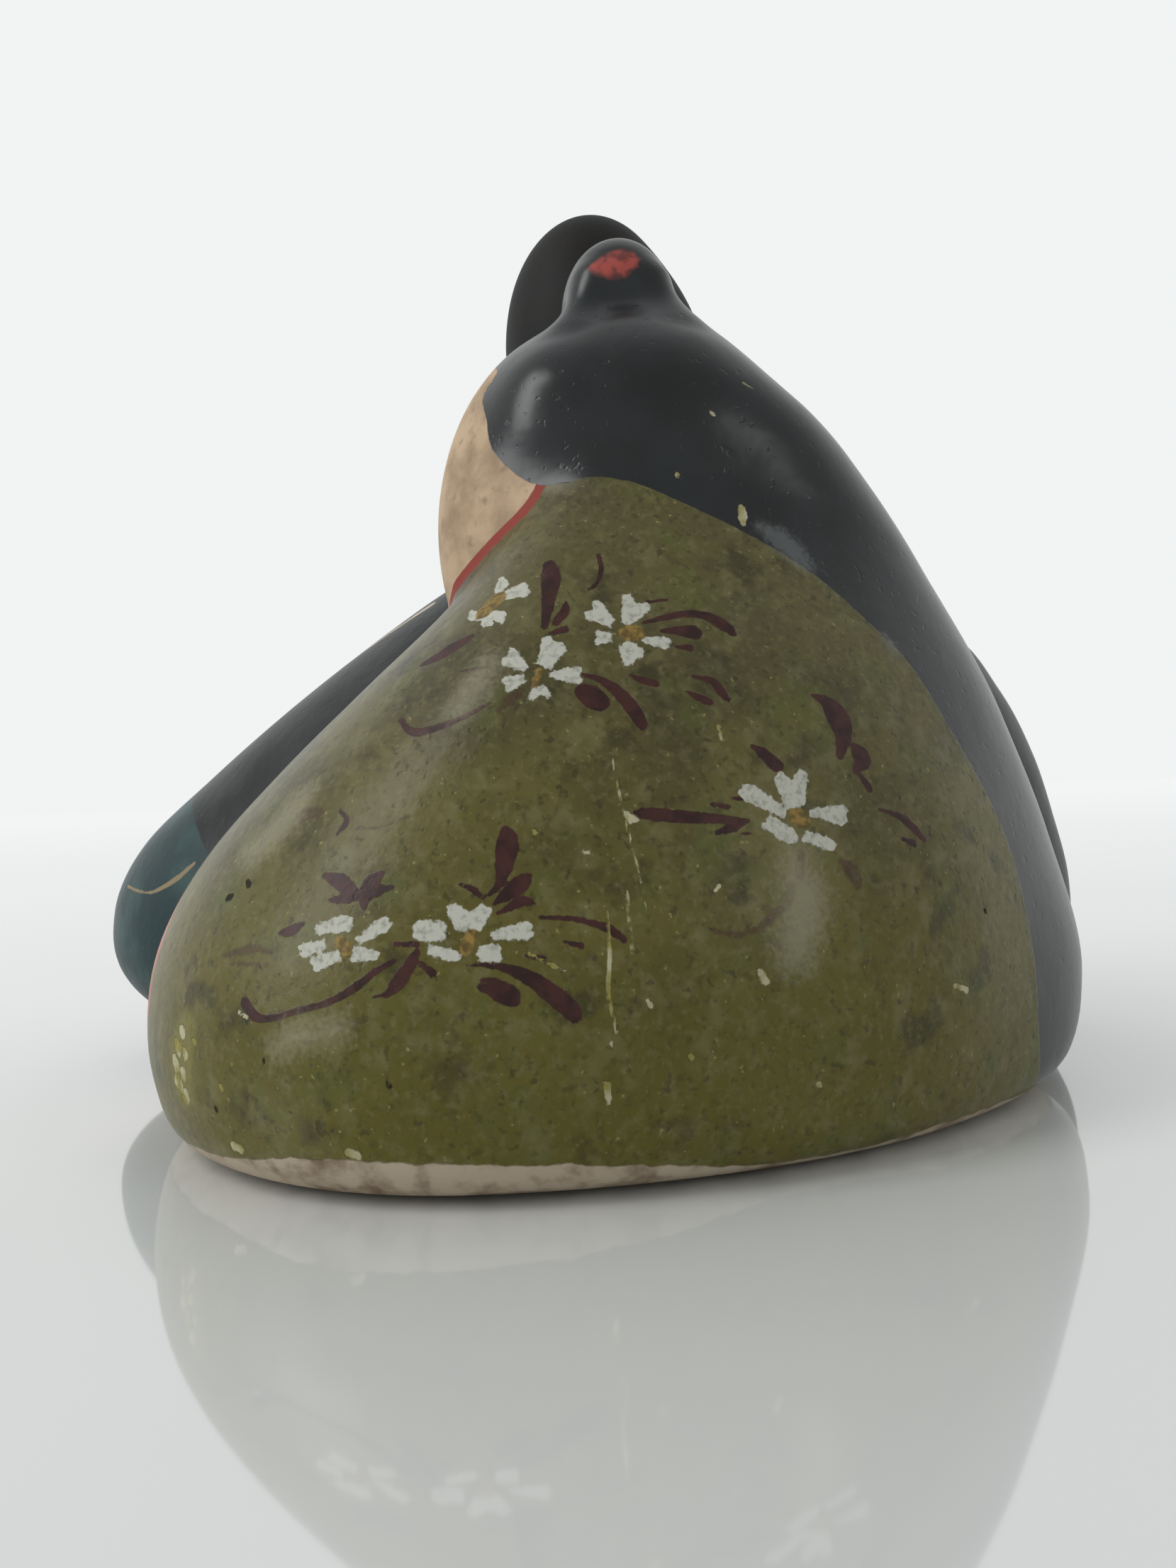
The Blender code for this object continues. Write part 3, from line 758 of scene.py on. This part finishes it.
def beside_line(spots, line):
    """How far spots of a plane are to the left of a line drawn through points."""
    run = through(np.concatenate([np.asarray(line, float), np.zeros((len(line), 1))], 1), 0.8)[:, :2]
    nearest = np.full(len(spots), 1e9)
    side = np.zeros(len(spots))
    for a, b in zip(run, run[1:]):
        along = b - a
        share = np.clip((spots - a) @ along / (along @ along), 0, 1)
        gap = spots - a - share[:, None] * along
        length = np.linalg.norm(gap, axis=1)
        closer = length < nearest - 1e-6
        turn = along[0] * gap[:, 1] - along[1] * gap[:, 0]
        side = np.where(closer, np.sign(turn), side)
        nearest = np.where(closer, length, nearest)
    return side * nearest


def in_ovals(x, z, ovals):
    """How far x and z are inside the nearest of some ovals."""
    depth = [(1 - np.hypot((x - middle[0]) / half[0], (z - middle[1]) / half[1])) * min(half)
             for middle, half in ovals]
    return np.max(depth, axis=0)


def paint_fields(places, all_marks):
    """For each painted area, how far each point is inside its edge, in pattern millimetres."""
    x, y, z = places.T
    robe, face, hair = lady_parts(places)
    his_robe, his_face, his_hair = lord_parts(places)
    his = np.minimum(np.minimum(robe, face), hair) - np.minimum(np.minimum(his_robe, his_face), his_hair)
    painted = np.clip((x - PAINTED_FROM[0]) / (PAINTED_FROM[1] - PAINTED_FROM[0]), 0, 1)
    painted = painted * np.clip((TEMPLE[1] - z) / (TEMPLE[1] - TEMPLE[0]), 0, 1)
    combed = np.minimum(robe, face) - hair
    combed = combed + painted * (beside_line(places[:, 1:], HAIR_EDGE) - combed)
    bared = robe - face
    bared = bared + painted * (beside_line(places[:, 1:], FACE_EDGE) - bared)
    fringe = np.minimum(-in_ovals(x, z, LADY_FOREHEAD), z - FOREHEAD_FROM)
    his_fringe = np.minimum(-in_ovals(x, z, LORD_FOREHEAD), z - FOREHEAD_FROM)
    front = np.clip(FRONT_FROM - y, -FIELD_REACH, FIELD_REACH)
    low_edge = smooth_value(y, FOOT_PLACE, FOOT_EDGE)
    share = np.clip(x / FOOT_SHARED_TO, 0, 1)
    fields = {
        "lord": his,
        "face": np.where(his > 0, np.minimum(his_robe, his_hair) - his_face,
                         np.minimum(bared, hair - face + painted)),
        "hair": np.where(his > 0, np.maximum(np.minimum(his_robe, his_face) - his_hair, his_fringe),
                         np.maximum(combed, fringe)),
        "collar": np.where(his > 0, his_robe - his_face, bared) + COLLAR_WIDTH,
        "foot": LORD_FOOT_EDGE + (low_edge - LORD_FOOT_EDGE) * share - z,
        "sleeve_mouth": np.minimum(in_ovals(x, z, LADY_SLEEVE_MOUTHS), front),
        "his_sleeve": np.minimum(in_ovals(x, z, LORD_SLEEVE_MOUTHS), front),
    }
    for name, strokes in all_marks.items():
        field = np.full(len(places), -FIELD_REACH)
        for stroke in strokes:
            spots = np.concatenate([stroke.line, stroke.edges])
            middle = spots.mean(0)
            reach = np.linalg.norm(spots - middle, axis=1).max() + FIELD_REACH
            near = np.linalg.norm(places - middle, axis=1) < reach
            if near.any():
                field[near] = np.maximum(field[near], stroke.inside(places[near]))
        fields[name] = field
    return fields


def put(tree, kind, sockets=None, **settings):
    """Adds a node with its settings, and fills or links its sockets. A colour may be its hex text."""
    made = tree.nodes.new("ShaderNode" + kind)
    for name, value in settings.items():
        setattr(made, name, value)
    for socket, value in (sockets or {}).items():
        if isinstance(value, bpy.types.NodeSocket):
            tree.links.new(value, made.inputs[socket])
        else:
            made.inputs[socket].default_value = hex_colour(value) if isinstance(value, str) else value
    return made


class Paintwork:
    """Builds up coats of paint: each covers the ones below it inside the edge of its area."""

    def __init__(self, name, roughness):
        self.material = bpy.data.materials.new(name)
        self.material.use_nodes = True
        self.tree = self.material.node_tree
        self.where = put(self.tree, "TexCoord").outputs["Object"]
        self.colour = None
        self.roughness = roughness
        self.height = 0.0
        self.sheen = None

    def clouds(self, size, low=0.35, high=0.65, detail=2.0, most=1.0):
        """Soft patches of a size in millimetres, from nothing to a most."""
        scale = MM_IN_METRE / size
        cloud = put(self.tree, "TexNoise", {"Vector": self.where, "Scale": scale, "Detail": detail})
        span = {"Value": cloud.outputs["Fac"], "From Min": low, "From Max": high, "To Max": most}
        return put(self.tree, "MapRange", span, interpolation_type="SMOOTHSTEP").outputs["Result"]

    def clouded(self, under, over, size, low=0.35, high=0.65, detail=2.0, most=1.0):
        """One colour with patches of another."""
        share = self.clouds(size, low, high, detail, most)
        return put(self.tree, "Mix", {0: share, 6: under, 7: over}, data_type="RGBA").outputs[2]

    def area(self, name, soft=0.06, wobble=0.1, grain=0.6, shift=0.0, most=1.0):
        """Where a painted area is, its edge made uneven as a brush leaves it."""
        inside = put(self.tree, "Attribute", attribute_name=name).outputs["Fac"]
        scale = MM_IN_METRE / grain
        cloud = put(self.tree, "TexNoise", {"Vector": self.where, "Scale": scale, "Detail": 3.0})
        uneven = put(self.tree, "Math", {0: cloud.outputs["Fac"], 1: 2 * wobble, 2: inside},
                     operation="MULTIPLY_ADD").outputs[0]
        edge = wobble - shift
        span = {"Value": uneven, "From Min": edge - soft, "From Max": edge + soft, "To Max": most}
        return put(self.tree, "MapRange", span, interpolation_type="SMOOTHSTEP").outputs["Result"]

    def coat(self, where, colour, roughness=None, thickness=0.0):
        """Lays a coat over what is there."""
        layers = {0: where, 6: self.colour, 7: colour}
        self.colour = put(self.tree, "Mix", layers, data_type="RGBA").outputs[2]
        if roughness is not None:
            self.roughness = put(self.tree, "Mix", {0: where, 2: self.roughness, 3: roughness}).outputs[0]
        if thickness:
            self.rise(where, thickness)

    def rise(self, where, thickness):
        """Raises the surface, or sinks it, by millimetres."""
        self.height = put(self.tree, "Math", {0: where, 1: thickness, 2: self.height},
                          operation="MULTIPLY_ADD").outputs[0]

    def finish(self):
        bump = put(self.tree, "Bump", {"Height": self.height, "Distance": 0.001, "Strength": 1.0})
        shader = self.tree.nodes["Principled BSDF"]
        for socket, value in (("Base Color", self.colour), ("Roughness", self.roughness),
                              ("Specular IOR Level", self.sheen), ("Normal", bump.outputs[0])):
            self.tree.links.new(value, shader.inputs[socket])
        return self.material


def painted_fired_clay():
    """Low-fired clay under a whitened ground and brushed glue colours, rubbed by handling to a soft satin.

    To the eye: muted, slightly uneven colours, soft broad highlights, and pale ground where paint is lost.
    """
    work = Paintwork("painted_fired_clay", 0.36)
    height = put(work.tree, "SeparateXYZ", {0: work.where}).outputs[2]
    low_down, painted_shade_high_up = (
        put(work.tree, "MapRange",
            {"Value": height, "From Min": start, "From Max": end, "To Max": most}).outputs[0]
        for start, end, most in (LOW_PAINT, PAINTED_SHADE_HIGH_UP))
    work.colour = work.clouded(OLIVE, OLIVE_DARK, 9, 0.4, 0.7, 4.0)
    work.coat(low_down, OLIVE_LOW)
    # Painted shade: the robe darker high up, under the hair
    work.coat(painted_shade_high_up, OLIVE_PAINTED_SHADE)
    work.coat(work.clouds(4.2, 0.52, 0.68, 5.0, 0.5), OLIVE_GREEN)
    work.coat(work.clouds(1.8, 0.48, 0.72, 5.0, 0.5), OLIVE_PALE)
    work.coat(work.clouds(3.4, 0.57, 0.72, 6.0, 0.6), OLIVE_SHADE)
    work.coat(work.clouds(0.55, 0.5, 0.72, 4.0, 0.4), OLIVE_PALE)
    work.coat(work.clouds(0.62, 0.52, 0.72, 4.0, 0.4), OLIVE_SHADE)
    work.coat(work.clouds(0.7, 0.62, 0.72, 2.0, 0.5), OLIVE_SHADE, thickness=-0.03)
    work.coat(work.clouds(0.45, 0.68, 0.74, 3.0, 0.7), OLIVE_SPECK, 0.6)
    pink = work.clouded(LINING_PINK, FACE_DIRT, 2.5, most=0.4)
    cream = work.clouded(LINING_CREAM, CLAY_DIRT, 3, most=0.5)
    red = work.clouded(COLLAR_RED, PATCH_DIRT, 2)
    work.coat(work.area("sleeve_mouth", 0.05, 0.12), pink, 0.6)
    work.coat(work.area("sleeve_mouth", 0.05, 0.1, shift=-1.6), cream, 0.6)
    work.coat(work.area("sleeve_mouth", 0.05, 0.1, shift=-2.9), red, 0.55)
    work.coat(work.area("lord", 0.05, 0.05), work.clouded(LORD_BLACK, LORD_BLACK_WORN, 5, 0.4, 0.7, 4.0), 0.4)
    work.coat(work.area("his_sleeve", 0.05, 0.15), work.clouded(TEAL, TEAL_DARK, 4, 0.3, 0.6, 3.0), 0.42)
    work.coat(work.area("ochre_line", 0.05, 0.1), OCHRE_LINE, 0.5)
    work.coat(work.area("lapel", 0.05, 0.08), work.clouded(LINING_CREAM, CLAY_DIRT, 2, most=0.5), 0.5)
    work.coat(work.area("collar", 0.06, 0.1), COLLAR_RED, 0.65)
    skin_tone = work.clouded(FACE_PEACH, FACE_DIRT, 3.6, 0.4, 0.68, 4.0, 0.75)
    work.coat(work.area("face", 0.05, 0.04), skin_tone, 0.6)
    grime = work.clouds(1.3, 0.55, 0.75, 5.0, 0.55)
    face = work.area("face", 0.05, 0.04)
    grimy = put(work.tree, "Math", {0: face, 1: grime}, operation="MULTIPLY").outputs[0]
    work.coat(grimy, FACE_GRIME)
    work.coat(work.area("brow", 0.25, 0.2, 0.4, most=0.55), INK_BLACK)
    work.coat(work.area("ink", 0.05, 0.04, 0.4), INK_BLACK, 0.4)
    work.coat(work.area("lip", 0.06, 0.05, 0.4), LIP_RED, 0.5)
    black = work.clouded(HAIR_BLACK, HAIR_BLUE, 7)
    brown = work.clouded(HAT_BROWN, HAIR_BLACK, 6)
    his = work.area("lord", 0.05, 0)
    black = put(work.tree, "Mix", {0: his, 6: black, 7: brown}, data_type="RGBA").outputs[2]
    gloss = put(work.tree, "Mix", {0: his, 2: 0.28, 3: 0.62}).outputs[0]
    hair = work.area("hair", 0.05, 0.08)
    work.coat(hair, black, gloss)
    lacquer = put(work.tree, "Mix", {0: his, 2: 0.5, 3: 0.25}).outputs[0]
    work.sheen = put(work.tree, "Mix", {0: hair, 2: 0.3, 3: lacquer}).outputs[0]
    patch = work.clouded(PATCH_RED, PATCH_DIRT, 0.9, 0.4, 0.65, 4.0)
    work.coat(work.area("knot_patch", 0.3, 0.35, 0.8), patch, 0.6)
    work.coat(work.area("leaf", 0.05, 0.12, 0.35), work.clouded(LEAF_MAROON, LEAF_DARK, 1.2), 0.42, 0.01)
    work.coat(work.area("faint_leaf", 0.1, 0.25, 0.35, most=0.55), LEAF_MAROON, 0.42)
    chalk = work.clouded(PETAL_WHITE, PETAL_GREY, 0.4, 0.45, 0.72, 4.0, 0.7)
    work.coat(work.area("petal", 0.07, 0.27, 0.3, 0.03, 0.93), chalk, 0.65, 0.03)
    work.coat(work.area("heart", 0.1, 0.2, 0.4), work.clouded(HEART_OCHRE, HEART_DARK, 0.5), 0.5, 0.02)
    bare = work.clouded(CLAY_CREAM, CLAY_DIRT, 2.2, 0.42, 0.72, 5.0)
    work.coat(work.area("foot", 0.08, 0.35, 1.6), bare, 0.8, -0.05)
    # Painted highlight: pale sheen laid into the robe's colour
    work.coat(work.area("painted_sheen", 1.3, 1.2, 0.35, -0.2, 0.42), PAINTED_SHEEN_GREY, 0.5)
    # Rubbed paint and painted highlight on her hair
    work.coat(work.area("scuff_and_sheen", 0.6, 0.8, 0.35, most=0.3), SCUFF_AND_SHEEN_GREY, 0.5)
    work.coat(work.area("stain", 0.7, 0.6, 0.7, -0.1, 0.45), GROUND_YELLOW, 0.5)
    ground = work.clouded(GROUND_PALE, GROUND_YELLOW, 1.6, 0.4, 0.6)
    work.coat(work.area("scratch", 0.04, 0.1, 0.5), ground, 0.7, -0.03)
    work.coat(work.area("chip", 0.05, 0.22, 0.5), ground, 0.8, -0.08)
    work.coat(work.area("pit", 0.06, 0.08, 0.5, -0.08), PIT_DARK, 0.8, -0.12)
    robe_only = put(work.tree, "Math", {0: 1.0, 1: hair}, operation="SUBTRACT").outputs[0]
    for size, thickness, where in ((6.0, 0.05, None), (1.1, 0.02, robe_only), (0.3, 0.004, robe_only)):
        grain = work.clouds(size, 0.2, 0.8, 3.0)
        if where:
            grain = put(work.tree, "Math", {0: grain, 1: where}, operation="MULTIPLY").outputs[0]
        work.rise(grain, thickness)
    return work.finish()


def couple_piece():
    """The couple itself, in the place of the plain solid, and the level middle of its pattern."""
    all_marks = marks()
    mesh, middle = clay_mesh(all_marks)
    fields = paint_fields(places_of(mesh), all_marks)
    for name, field in fields.items():
        layer = mesh.attributes.new(name, "FLOAT", "POINT")
        layer.data.foreach_set("value", np.clip(field, -FIELD_REACH, FIELD_REACH).astype(np.float32))
    mesh.transform(Matrix.Scale(FIGURE_SCALE, 4) @ Matrix.Translation(-middle))
    mesh.shade_smooth()
    mesh.materials.append(painted_fired_clay())
    piece = bpy.data.objects.new("painted_hina_couple", mesh)
    bpy.context.scene.collection.objects.link(piece)
    return piece, middle


def plain_material(name, colour, roughness):
    material = bpy.data.materials.new(name)
    material.use_nodes = True
    shader = material.node_tree.nodes["Principled BSDF"]
    shader.inputs["Base Color"].default_value = hex_colour(colour)
    shader.inputs["Roughness"].default_value = roughness
    return material


def table_top():
    """A pale table top, polished so that the couple's mirror image stands in it."""
    mesh = bpy.data.meshes.new("table_top")
    corners = [(TABLE_HALF * x, TABLE_HALF * y, 0) for x, y in ((-1, -1), (1, -1), (1, 1), (-1, 1))]
    mesh.from_pydata(corners, [], [(0, 1, 2, 3)])
    polish = plain_material("polished_table", TABLE_WHITE, 0.05)
    polish.node_tree.nodes["Principled BSDF"].inputs["IOR"].default_value = TABLE_IOR
    mesh.materials.append(polish)
    table = bpy.data.objects.new("table_top", mesh)
    bpy.context.scene.collection.objects.link(table)
    table.location.z = -TABLE_GAP


def pale_room():
    """Pale surroundings: bright behind the couple, dimmer overhead and where the viewer stands."""
    world = bpy.data.worlds.new("pale_room")
    world.use_nodes = True
    tree = world.node_tree
    way = put(tree, "SeparateXYZ", {0: put(tree, "TexCoord").outputs["Generated"]})
    spans = ({"Value": way.outputs[0], "From Min": -0.7, "From Max": 0.3,
              "To Min": BEHIND_LIGHT, "To Max": FRONT_LIGHT},
             {"Value": way.outputs[2], "From Min": 0.1, "From Max": 0.9, "To Min": 1.0, "To Max": TOP_SHARE})
    along, above = (put(tree, "MapRange", span, interpolation_type="SMOOTHSTEP").outputs[0] for span in spans)
    light = put(tree, "Math", {0: along, 1: above}, operation="MULTIPLY").outputs[0]
    seen_directly = put(tree, "LightPath").outputs["Is Camera Ray"]
    strength = put(tree, "Mix", {0: seen_directly, 2: light, 3: SEEN_LIGHT}).outputs[0]
    background = tree.nodes["Background"]
    background.inputs["Color"].default_value = hex_colour(ROOM_WHITE)
    tree.links.new(strength, background.inputs["Strength"])
    bpy.context.scene.world = world


def soft_lamp(name, place, aim, size, power):
    lamp = bpy.data.lights.new(name, "AREA")
    lamp.shape = "RECTANGLE"
    lamp.size, lamp.size_y = size
    lamp.energy = power
    item = bpy.data.objects.new(name, lamp)
    bpy.context.scene.collection.objects.link(item)
    item.location = place
    away = Matrix.Translation(aim).translation - item.location
    item.rotation_euler = away.to_track_quat("-Z", "Y").to_euler()


def photo_camera(middle):
    camera = bpy.data.cameras.new("photo_camera")
    camera.sensor_fit = "AUTO"
    camera.sensor_width = SENSOR
    camera.lens = FOCAL_PIXELS / PHOTO_HEIGHT * SENSOR
    camera.clip_start = 0.005
    camera.dof.use_dof = False
    item = bpy.data.objects.new("photo_camera", camera)
    bpy.context.scene.collection.objects.link(item)
    level = Matrix(((0, 0, 1), (1, 0, 0), (0, 1, 0))).to_4x4()
    place = Matrix.Translation((np.array(EYE) - middle) * FIGURE_SCALE)
    item.matrix_world = place @ level @ Matrix.Rotation(-ROLL, 4, "Z")
    bpy.context.scene.camera = item


piece, middle = couple_piece()
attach(piece, "root")
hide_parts(PIECE)
table_top()
pale_room()
soft_lamp("tall_window", (0.20, -0.46, 0.38), (0, 0, 0.04), (0.22, 0.55), 1.7)
soft_lamp("small_window", (0.36, 0.46, 0.28), (0, 0, 0.04), (0.15, 0.15), 0.16)
photo_camera(middle)
bpy.context.scene.view_settings.view_transform = "Standard"
